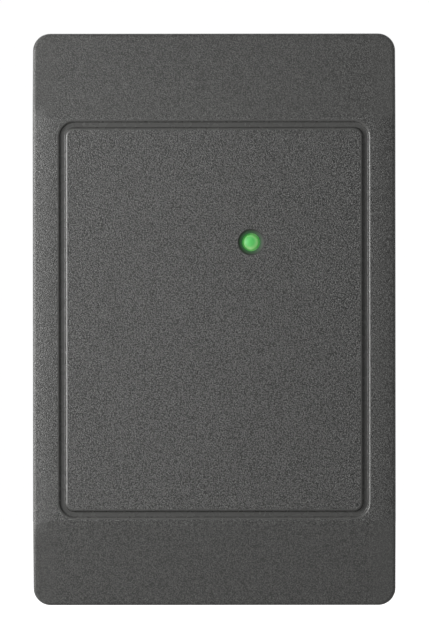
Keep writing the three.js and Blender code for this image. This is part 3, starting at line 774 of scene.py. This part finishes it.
def cover_ribs():
    """Two ribs under the groove's ends, and the post that holds the tamper plunger in."""
    root = COVER_INNER_FRONT - ROOT
    rib_z = GROOVE_HALF_HEIGHT - RIB_FROM_GROOVE
    size = (RIB_WIDTH, RIB_THICKNESS, COVER_INNER_FRONT + RIB_HEIGHT, root)
    ribs = [box_solid(0, z, *size) for z in (-rib_z, rib_z)]
    profile = [(0, POST_END), (POST_END_RADIUS, POST_END), (POST_ROOT_RADIUS, COVER_INNER_FRONT)]
    profile += [(POST_ROOT_RADIUS, root), (0, root)]
    return [*ribs, turned_solid(TAMPER_X, TAMPER_Z, profile, 32)]


def front_cover():
    """The moulded shell: its grained outside, and an inside that the base and electronics fit."""
    shell = combined(cover_solid(), cover_cutters(), cover_ribs())
    piece = finished(shell, "front_cover_moulding", COVER_FINISHES)
    shade_cover(piece.data)
    return placed(piece, "cover", "cover_plastic", "front_cover")


def cover_finish(centre, on_front, on_side):
    """The finish of a face of the cover that has its centre at that place, in millimetres."""
    if on_front and dish_depth(centre.x, centre.z) > SUNK:
        return COVER_DISH
    if on_front and groove_depth(centre.x, centre.z) > SUNK:
        return COVER_GROOVE
    rim = -COVER_REAR - REAR_CHAMFER - SURFACE_TOLERANCE
    return COVER if on_front or on_side or centre.y > rim else COVER_INSIDE


def shade_cover(mesh):
    """Gives each face its finish, with smooth normals on the outer skin and flat ones inside."""
    normals = []
    for face in mesh.polygons:
        points = [mesh.vertices[i].co / MM for i in face.vertices]
        on_front = all(abs(p.y - cover_front(p.x, p.z)) < SURFACE_TOLERANCE for p in points)
        on_outline = all(abs(cover_inset(p.x, p.z)[0]) < SURFACE_TOLERANCE for p in points)
        on_side = on_outline and all(p.y < -COVER_REAR - SURFACE_TOLERANCE for p in points)
        face.use_smooth = True
        finish = cover_finish(face.center / MM, on_front, on_side)
        face.material_index = COVER_FINISHES.index(finish)
        for point in points:
            outer = cover_normal(point.x, point.z) if on_front or on_side else face.normal
            normals.append(outer)
    mesh.normals_split_custom_set(normals)


# ---- Indicator lens ----


def led_lens():
    """A domed cap, with a flange behind the cover that holds it."""
    low, high = (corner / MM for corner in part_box("led_lens"))
    tip, seat = low.y, high.y
    steps = 10
    dome = [
        (LENS_CAP_RADIUS * math.cos(a), LENS_RIM + (tip - LENS_RIM) * math.sin(a))
        for a in (math.pi / 2 * step / steps for step in range(steps))
    ]
    shoulder = seat - LENS_FLANGE_DEPTH
    profile = [(0, seat), (LENS_FLANGE_RADIUS, seat), (LENS_FLANGE_RADIUS, shoulder)]
    profile += [(LENS_CAP_RADIUS, shoulder), *dome, (0, tip)]
    piece = finished(turned_solid(LENS_X, LENS_Z, profile, 64), "led_lens_cap", [LENS])
    smooth_by_angle(piece, 40)
    return placed(piece, "cover", "lens", "led_lens")


# ---- Antenna winding ----

FORMER_HALF_WIDTH, FORMER_HALF_HEIGHT = 33.0, 35.1
WINDING_REAR, WINDING_FRONT = -10.3, -12.9
WINDING_OUTER, WINDING_INNER = 0.5, 3.7
TURNS_ACROSS, TURNS_DEEP = 8, 10
WINDING_CORNER, WINDING_CORNER_SHRINK = 3.8, 0.45


def scallops(start, end, count, steps=4):
    """Half-round bumps side by side from start to end, standing out on that line's right."""
    start, end = Vector(start), Vector(end)
    pitch = (end - start) / count
    out = Vector((pitch.y, -pitch.x)) / 2
    points = []
    for turn in range(count):
        centre = start + pitch * (turn + 0.5)
        for angle in (math.pi * step / steps for step in range(steps)):
            points.append(centre - pitch / 2 * math.cos(angle) + out * math.sin(angle))
    return points


def antenna_winding():
    """The winding as one body in the former's channel, with its turns standing out as ridges."""
    wire = (WINDING_REAR - WINDING_FRONT) / TURNS_ACROSS / 2
    outer, inner = WINDING_OUTER + wire, WINDING_INNER - wire
    rear, front = WINDING_REAR - wire, WINDING_FRONT + wire
    corners = [(outer, front), (inner, front), (inner, rear), (outer, rear)]
    counts = [TURNS_DEEP, TURNS_ACROSS, TURNS_DEEP, TURNS_ACROSS]
    section = []
    for i, count in enumerate(counts):
        section += scallops(corners[i], corners[(i + 1) % 4], count)
    bm = bmesh.new()
    loops = []
    for inset, y in section:
        radius = WINDING_CORNER - WINDING_CORNER_SHRINK * inset
        outline = rounded_outline(FORMER_HALF_WIDTH - inset, FORMER_HALF_HEIGHT - inset, radius, 6)
        loops.append([bm.verts.new((x, y, z)) for x, z in outline])
    join_loops(bm, loops)
    piece = finished(bm, "antenna_winding", [WINDING])
    smooth_by_angle(piece, 60)
    return placed(piece, "base", "winding", "antenna_coil")


# ---- What is printed, plated and soldered on the circuit board ----

BOARD_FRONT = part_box("circuit_board")[0].y / MM
BOARD_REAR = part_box("circuit_board")[1].y / MM
TRACK_RISE = 0.014
POWER_WIDTH, SIGNAL_WIDTH = 0.9, 0.35
LEGEND_RISE = 0.02
LEGEND_WIDTH, DOT_WIDTH = 0.16, 0.28


def ribbon(bm, points, width, rise, closed=False):
    """A strip of the given width along points (x, z), standing up from the board's front by rise."""
    points = [Vector(point) for point in points]
    count = len(points)
    sides = []
    for i, point in enumerate(points):
        before = points[i - 1] if closed or i else None
        after = points[(i + 1) % count] if closed or i < count - 1 else None
        back = (point - before).normalized() if before else (after - point).normalized()
        ahead = (after - point).normalized() if after else back
        middle = (back + ahead).normalized()
        mitre = Vector((-middle.y, middle.x)) * (width / 2 / max(0.3, middle.dot(ahead)))
        sides.append((point + mitre, point - mitre))
    low, high = BOARD_FRONT + 0.01, BOARD_FRONT - rise
    left_low, left, right, right_low = (
        [bm.verts.new((pair[side].x, y, pair[side].y)) for pair in sides]
        for side, y in ((0, low), (0, high), (1, high), (1, low))
    )
    spans = range(count if closed else count - 1)
    for near, far in ((left_low, left), (left, right), (right, right_low), (right_low, left_low)):
        for i in spans:
            j = (i + 1) % count
            bm.faces.new((near[i], near[j], far[j], far[i]))
    if not closed:
        for i in (0, -1):
            bm.faces.new((left_low[i], left[i], right[i], right_low[i]))


def spread(centre, count, pitch):
    return [centre + (i - (count - 1) / 2) * pitch for i in range(count)]


WAYS = spread(0, 8, 3.5)
LEADS = 8
CHIP_X, CHIP_Z, CHIP_PITCH = -14.0, 1.0, 0.8
RADIO_X, RADIO_Z, RADIO_PITCH = 11.0, 2.0, 1.27

# Places (x, z) of the other components, and of the antenna's pads.
SOUNDER = (-14, 18)
CRYSTAL = (-2.5, 3)
REGULATOR = (-21.5, -9.2)
CHOKE = (21, 9)
TUNING_CAPACITOR = (21, -5)
RESERVOIR = (-20, -21.5)
SUPPLY = (18, -22.5)
SUPPRESSOR = (-23.5, 5)
DIODE = (-23.6, 26)
COIL_PADS = ((25, -18.2), (25, -20.8))

# Places (x, z, upright) of the small parts.
RESISTORS = [
    *[(-7, z, False) for z in (7, 1.6)],
    *[(2.3, z, False) for z in (7, 5.2, -1.8)],
    *[(16.3, z, True) for z in (5.4, 2.2)],
    *[(x, -29, True) for x in (-24, -21.5, 16.5)],
    *[(-4.5, z, False) for z in (27.5, 25.5)],
    *[(11, z, False) for z in (24, 26)],
]
CAPACITORS = [
    *[(-7, z, False) for z in (5.2, 3.4, -1.6)],
    *[(2.3, z, False) for z in (3.2, 0.2)],
    *[(16.3, z, True) for z in (-1.2, -4.6)],
    *[(x, -29, True) for x in (-19, 19, 21.5)],
    (-4.5, 23.3, False),
    *[(-21.8, z, False) for z in (0.8, -0.9)],
]
PART_LENGTH, PART_WIDTH, PART_CAP = 1.7, 0.9, 0.32
CAP_STEP = 0.02  # how far the plated caps stand out from the body
RESISTOR_RISE, CAPACITOR_RISE = 0.5, 0.8


def small_part(name, x, z, upright, rise, body_material, slot):
    """A surface-mount part: a body with a plated cap on each end."""
    body = (0, PART_LENGTH - 2 * PART_CAP, -CAP_STEP)
    caps = [(side * (PART_LENGTH - PART_CAP) / 2, PART_CAP, 0) for side in (-1, 1)]
    bm = bmesh.new()
    for part, (shift, run, grow) in enumerate((body, *caps)):
        centre = (x, z + shift) if upright else (x + shift, z)
        across = PART_WIDTH + grow
        size = (across, run) if upright else (run, across)
        solid = box_solid(*centre, *size, BOARD_FRONT, BOARD_FRONT - rise - grow)
        bmesh.ops.bevel(solid, geom=solid.edges, offset=0.05, segments=2, affect="EDGES")
        for face in solid.faces:
            face.material_index = min(part, 1)
        mesh = bpy.data.meshes.new("part")
        solid.to_mesh(mesh)
        solid.free()
        bm.from_mesh(mesh)
        bpy.data.meshes.remove(mesh)
    piece = finished(bm, name, [body_material, SOLDER])
    smooth_by_angle(piece, 35)
    return placed(piece, "base", slot)


def small_parts():
    for i, place in enumerate(RESISTORS):
        name = f"chip_resistor_{i + 1}"
        small_part(name, *place, RESISTOR_RISE, THICK_FILM, "chip_plastic")
    for i, place in enumerate(CAPACITORS):
        name = f"chip_capacitor_{i + 1}"
        small_part(name, *place, CAPACITOR_RISE, CERAMIC, "ferrite")


POWER_TRACKS = [
    [(-24.5, -4), (-25.6, -2.4), (-25.6, 2.4), (-25, 3.4)],  # regulator to suppressor
    [(-25.6, 7), (-25.6, 21), (-24.8, 24)],  # suppressor to diode
    [(-20.4, -14.5), (-20.4, -16), (-20, -17.4)],  # regulator to reservoir capacitor
    # Antenna leads to the driver transistors.
    [(24.8, -17.5), (24.8, -2), (25.4, -1), (25.4, 12), (24.2, 14), (22.6, 15)],
    [(21, 0.4), (21, 2.6), (21, 5)],  # tuning capacitor to choke
    [(18, -18.8), (18, -13.4), (20, -11.4), (20.4, -10.4)],  # supply to tuning capacitor
]
SIGNAL_TRACKS = [
    [(-14, 11.6), (-14, 8.2), (-12, 6.2), (-12, 5.6)],  # sounder to microcontroller
    [(7.7, 13.6), (7.7, 10), (8.6, 8.4)],  # status LED to reader chip
    [(2.5, 21.4), (2.5, 12), (0.9, 10), (0.9, 8.4)],  # tamper switch to the chip parts by the reader chip
    [(-2.6, 25.6), (-0.9, 25.6)],  # chip parts to tamper switch
    [(6, 25), (9.8, 25)],  # tamper switch to chip parts
    [(12.3, 25), (15.9, 25)],  # chip parts to a driver transistor
]


def chip_tracks():
    """Tracks from the terminals to the chips, and short ones that fan out from the chips' leads."""
    tracks = []
    for x, lead in zip(WAYS[:4], spread(CHIP_X, LEADS, CHIP_PITCH)[4:]):
        tracks.append([(x, -5.6), (x, -5), (lead + 0.1, -3.9), (lead + 0.1, -3.4)])
    for step, x in enumerate(WAYS[4:]):
        level = -5.2 + 0.75 * step
        tracks.append([(x, -5.8), (x, level), (5.6 - step * 0.6, level + 1)])
    for z in spread(CHIP_Z, LEADS, CHIP_PITCH)[2:]:
        tracks.append([(-9.6, z), (-9, z), (-8.4, z + 0.3), (-8, z + 0.3)])
    for z in spread(CHIP_Z, LEADS, CHIP_PITCH)[:5]:
        tracks.append([(-18.4, z), (-19.6, z), (-20.4, z - 0.5), (-20.8, z - 0.5)])
    for z in spread(RADIO_Z, LEADS, RADIO_PITCH):
        tracks.append([(8, z), (6.6, z), (5.9, z + 0.4), (3.6, z + 0.4)])
        tracks.append([(14, z), (15.2, z)])
    return tracks


def board_tracks():
    """Copper tracks under the solder mask, on the front of the board."""
    bm = bmesh.new()
    for points in chip_tracks():
        ribbon(bm, points, SIGNAL_WIDTH, TRACK_RISE)
    for points in POWER_TRACKS:
        ribbon(bm, points, POWER_WIDTH, TRACK_RISE)
    for points in SIGNAL_TRACKS:
        ribbon(bm, points, SIGNAL_WIDTH, TRACK_RISE)
    piece = finished(bm, "board_tracks", [TRACK])
    return placed(piece, "base", "board")


# Place, then half width and half height, of the printed boxes.
LEGEND_BOXES = [
    (CHIP_X, CHIP_Z, 5, 5),
    (RADIO_X, RADIO_Z, 3.6, 5.6),
    (*CRYSTAL, 2.7, 5.8),
    (*CHOKE, 4.1, 4.1),
    (*TUNING_CAPACITOR, 3, 5.5),
    (TAMPER_X, TAMPER_Z, 3.5, 3.5),
    (*REGULATOR, 3.9, 6.2),
    (*SUPPRESSOR, 3.1, 2.2),
    (*DIODE, 3.1, 1.7),
]
LEGEND_CIRCLES = [(*SOUNDER, 6.4), (*RESERVOIR, 4.4), (*SUPPLY, 3.55), (LENS_X, LENS_Z, 2.6)]
FIRST_LEAD_DOTS = [(CHIP_X - 5.5, CHIP_Z + 4.6), (RADIO_X - 4.2, RADIO_Z + 5.6)]


def board_legend():
    """Printed outlines round the larger components, with a dot at the first lead of each chip."""
    bm = bmesh.new()
    for x, z, half_width, half_height in LEGEND_BOXES:
        outline = rounded_outline(half_width, half_height, 0.3, 3, x, z)
        ribbon(bm, outline, LEGEND_WIDTH, LEGEND_RISE, True)
    for x, z, radius in LEGEND_CIRCLES:
        ribbon(bm, circle(radius, 48, x, z), LEGEND_WIDTH, LEGEND_RISE, True)
    for x, z in FIRST_LEAD_DOTS:
        ribbon(bm, circle(0.15, 12, x, z), DOT_WIDTH, LEGEND_RISE, True)
    piece = finished(bm, "board_legend", [LEGEND])
    return placed(piece, "base", "board")


# Pins that come through to the rear, in the order of their components.
THROUGH_PINS = [
    *[(x, -7.6) for x in WAYS],
    *[(LENS_X + reach, LENS_Z) for reach in (-0.64, 0.64)],
    *[(SOUNDER[0], SOUNDER[1] + reach) for reach in (3.2, -3.2)],
    *[(CRYSTAL[0], CRYSTAL[1] + reach) for reach in (-2.4, 2.4)],
    *[(TUNING_CAPACITOR[0], TUNING_CAPACITOR[1] + reach) for reach in (-3.8, 3.8)],
    *[(RESERVOIR[0], RESERVOIR[1] + reach) for reach in (-1.5, 1.5)],
    *[(SUPPLY[0], SUPPLY[1] + reach) for reach in (-1.1, 1.1)],
    *COIL_PADS,
]
REGULATOR_LEADS = ((-23.8, -14.4), (-19.2, -14.4))

# Radius and height of each kind of joint.
CHIP_JOINT = (0.22, 0.2)
RADIO_JOINT = (0.3, 0.22)
PAD_JOINT = (0.75, 0.35)
PIN_JOINT = (0.85, 0.55)


def solder_dome(bm, x, z, radius, rise, surface):
    turn = Matrix.Translation((x, surface, z)) @ Matrix.Diagonal((radius, rise, radius, 1))
    bmesh.ops.create_uvsphere(bm, u_segments=12, v_segments=8, radius=1, matrix=turn)


def solder_joints():
    """Solder at the foot of each lead on the front, and on each through pin at the rear."""
    bm = bmesh.new()
    for step in spread(0, LEADS, CHIP_PITCH):
        for side in (-1, 1):
            solder_dome(bm, CHIP_X + side * 4.5, CHIP_Z + step, *CHIP_JOINT, BOARD_FRONT)
            solder_dome(bm, CHIP_X + step, CHIP_Z + side * 4.5, *CHIP_JOINT, BOARD_FRONT)
    for z in spread(RADIO_Z, LEADS, RADIO_PITCH):
        for side in (-1, 1):
            solder_dome(bm, RADIO_X + side * 3.1, z, *RADIO_JOINT, BOARD_FRONT)
    for place in (*REGULATOR_LEADS, *COIL_PADS):
        solder_dome(bm, *place, *PAD_JOINT, BOARD_FRONT)
    for place in THROUGH_PINS:
        solder_dome(bm, *place, *PIN_JOINT, BOARD_REAR)
    piece = finished(bm, "solder_joints", [SOLDER])
    smooth_by_angle(piece, 60)
    return placed(piece, "base", "tinned_steel")


# ---- Stage, light and camera ----

WORLD_FRONT, WORLD_BACK = 0.33, 0.9
WORLD_FADE_START, WORLD_FADE_END = 0.1, 0.7

# Metres from here on.
FLOOR_HALF_SIZE = 12
FLOOR_DROP = 0.11
SURROUND_RADIUS = 4

CAMERA_DISTANCE = 1.5
CAMERA_YAW, CAMERA_PITCH, CAMERA_ROLL = 0.3, 0.2, -0.054  # degrees
CAMERA_LENS, CAMERA_SENSOR = 400.4, 36  # millimetres
CAMERA_SHIFT = (0.000625, -0.00125)  # shares of the picture's longer side
CAMERA_CLIP = (0.05, 60)


def unseen_by_light(piece):
    """The object neither reflects this stage piece nor is lit by it."""
    piece.visible_diffuse = False
    piece.visible_glossy = False
    piece.visible_transmission = False
    piece.visible_shadow = False


def stage():
    """A pale floor that runs out to a white surround."""
    paper = Finish("pale_floor", (0.8, 0.8, 0.8), 0.8)
    paper.color(paper.noise(400, 2), (0.78, 0.78, 0.78), (0.82, 0.82, 0.82))
    paper.set("Emission Color", (1, 1, 1, 1))
    paper.set("Emission Strength", 0.85)
    bm = bmesh.new()
    bmesh.ops.create_grid(bm, x_segments=8, y_segments=8, size=FLOOR_HALF_SIZE)
    floor = finished(bm, "floor", [paper.material], 1)
    floor.location.z = cad_low.z - FLOOR_DROP
    air = Finish("white_surround", (0, 0, 0), 1)
    air.set("Emission Color", (1, 1, 1, 1))
    air.set("Emission Strength", 1.0)
    bm = bmesh.new()
    bmesh.ops.create_icosphere(bm, subdivisions=4, radius=SURROUND_RADIUS)
    surround = finished(bm, "surround", [air.material], 1)
    for piece in (floor, surround):
        unseen_by_light(piece)


def softbox(name, place, size, watts):
    """A rectangular light that points at the middle of the reader's wall side."""
    light = bpy.data.lights.new(name, "AREA")
    light.shape = "RECTANGLE"
    light.size, light.size_y = size
    light.energy = watts
    made = bpy.data.objects.new(name, light)
    made.location = place
    made.rotation_mode = "QUATERNION"
    made.rotation_quaternion = (-Vector(place)).to_track_quat("-Z", "Y")
    bpy.context.scene.collection.objects.link(made)


def world():
    """A studio that is dim in front of the reader and pale behind it."""
    made = bpy.data.worlds.new("studio")
    made.use_nodes = True
    nodes, links = made.node_tree.nodes, made.node_tree.links
    split = nodes.new("ShaderNodeSeparateXYZ")
    fade = nodes.new("ShaderNodeMapRange")
    fade.interpolation_type = "SMOOTHSTEP"
    limits = {"From Min": WORLD_FADE_START, "From Max": WORLD_FADE_END}
    limits |= {"To Min": WORLD_FRONT, "To Max": WORLD_BACK}
    for socket, value in limits.items():
        fade.inputs[socket].default_value = value
    links.new(nodes.new("ShaderNodeTexCoord").outputs["Generated"], split.inputs[0])
    links.new(split.outputs["Y"], fade.inputs["Value"])
    links.new(fade.outputs["Result"], nodes["Background"].inputs["Strength"])
    nodes["Background"].inputs["Color"].default_value = (1, 1, 1, 1)
    bpy.context.scene.world = made


def camera():
    """A long lens almost square on to the front."""
    yaw, pitch, roll = (math.radians(a) for a in (CAMERA_YAW, CAMERA_PITCH, CAMERA_ROLL))
    data = bpy.data.cameras.new("camera")
    data.lens, data.sensor_width = CAMERA_LENS, CAMERA_SENSOR
    data.shift_x, data.shift_y = CAMERA_SHIFT
    data.clip_start, data.clip_end = CAMERA_CLIP
    made = bpy.data.objects.new("camera", data)
    back = Vector(
        (math.sin(yaw) * math.cos(pitch), -math.cos(yaw) * math.cos(pitch), math.sin(pitch))
    )
    made.location = back * CAMERA_DISTANCE
    made.rotation_mode = "QUATERNION"
    aim = (-back).to_track_quat("-Z", "Y")
    made.rotation_quaternion = aim @ Matrix.Rotation(roll, 4, "Z").to_quaternion()
    bpy.context.scene.collection.objects.link(made)
    bpy.context.scene.camera = made


# ---- The whole ----

dress_nodes()
front_cover()
led_lens()
antenna_winding()
small_parts()
board_tracks()
board_legend()
solder_joints()

stage()
world()
softbox("near_softbox", (-0.20, -0.22, 0.045), (0.12, 0.2), 0.68)
softbox("grazing_softbox", (-0.35, -0.08, 0.03), (0.08, 0.25), 1.05)
camera()
bpy.context.scene.view_settings.view_transform = "Standard"
